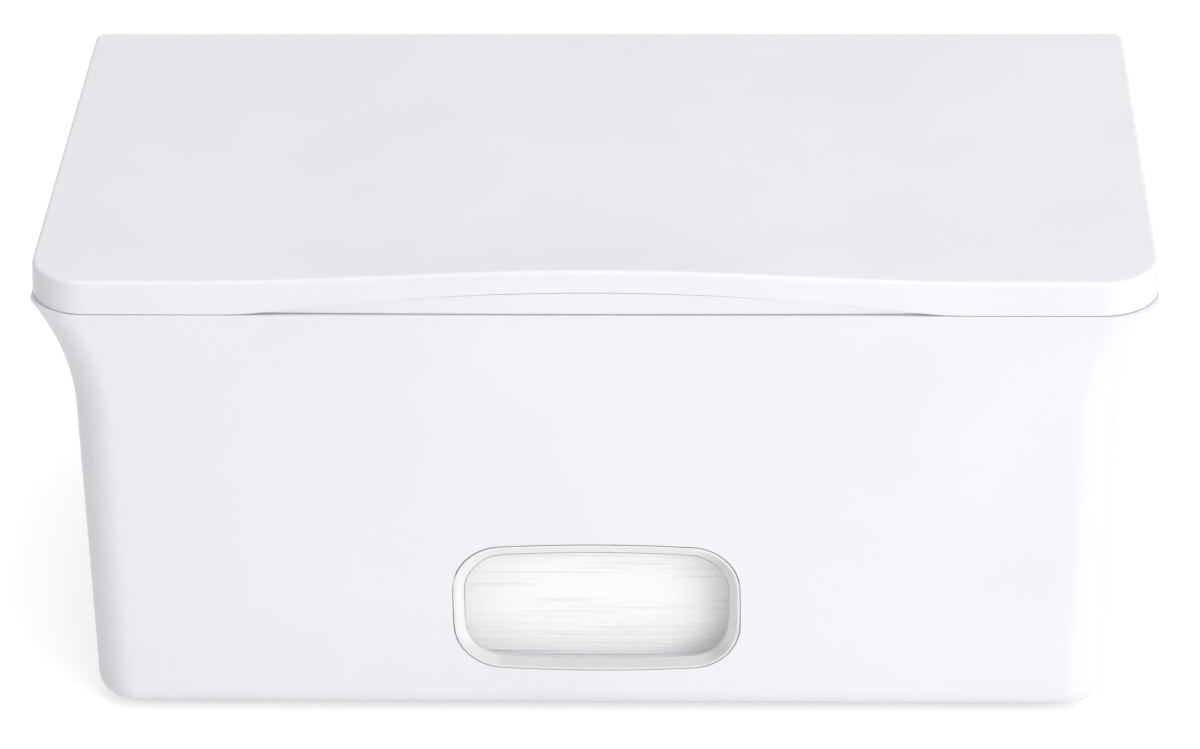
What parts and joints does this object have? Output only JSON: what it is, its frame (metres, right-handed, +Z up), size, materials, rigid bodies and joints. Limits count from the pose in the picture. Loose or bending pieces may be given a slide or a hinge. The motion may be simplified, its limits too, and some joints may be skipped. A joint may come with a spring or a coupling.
{
  "type": "countertop wipes dispenser",
  "caption": "Countertop wipes dispenser: a flared white box with a hinged lid, a clear front window and a weighted plate with a dispensing slot that rides on the stack of folded wipes.",
  "frame": {"origin": "centre of the bounding box's base, on the surface that the feet stand on", "axes": "+X to the right seen from the front, the front faces -Y, +Z up"},
  "size_m": [0.2386, 0.127, 0.1107],
  "materials": {
    "shell_plastic": "satin white moulded ABS with a fine moulding texture",
    "lid_plastic": "satin white moulded ABS, slightly polished edges",
    "frame_plastic": "satin white moulded plastic",
    "plate_plastic": "satin white moulded plastic",
    "clear_plastic": "clear polished plastic",
    "seal_silicone": "translucent pale grey silicone",
    "foot_rubber": "grey non-slip rubber",
    "wipe_cloth": "folded white non-woven wipes, seen edge on",
    "screw_steel": "zinc plated steel screws",
    "pin_steel": "ground stainless steel pins",
    "bar_steel": "cut and zinc plated steel bar"
  },
  "bodies": {
    "tub": {"outer_shell": "shell_plastic", "rim_frame": "frame_plastic", "frame_screws": "screw_steel", "window_pane": "clear_plastic", "window_gasket": "seal_silicone", "window_retainer": "frame_plastic", "retainer_screws": "screw_steel", "foot_front_left": "foot_rubber", "foot_front_right": "foot_rubber", "foot_rear_left": "foot_rubber", "foot_rear_right": "foot_rubber", "wipes_stack": "wipe_cloth", "hinge_pin_left": "pin_steel", "hinge_pin_right": "pin_steel"},
    "lid": {"lid_cover": "lid_plastic", "lid_liner": "frame_plastic", "liner_screws": "screw_steel", "lid_gasket": "seal_silicone"},
    "weight_plate": {"plate_tray": "plate_plastic", "plate_cover": "plate_plastic", "plate_screws": "screw_steel", "slot_grommet": "seal_silicone", "weight_bar_left": "bar_steel", "weight_bar_right": "bar_steel"}
  },
  "joints": [
    {"name": "lid_hinge", "type": "hinge", "parent": "tub", "child": "lid", "pos_m": [0, 0.0602, 0.10073], "axis": [-1, 0, 0], "range_deg": [0, 105]},
    {"name": "plate_slide", "type": "slide", "parent": "tub", "child": "weight_plate", "axis": [0, 0, 1], "range_m": [-0.079, 0], "deforming": ["wipes_stack"]}
  ]
}
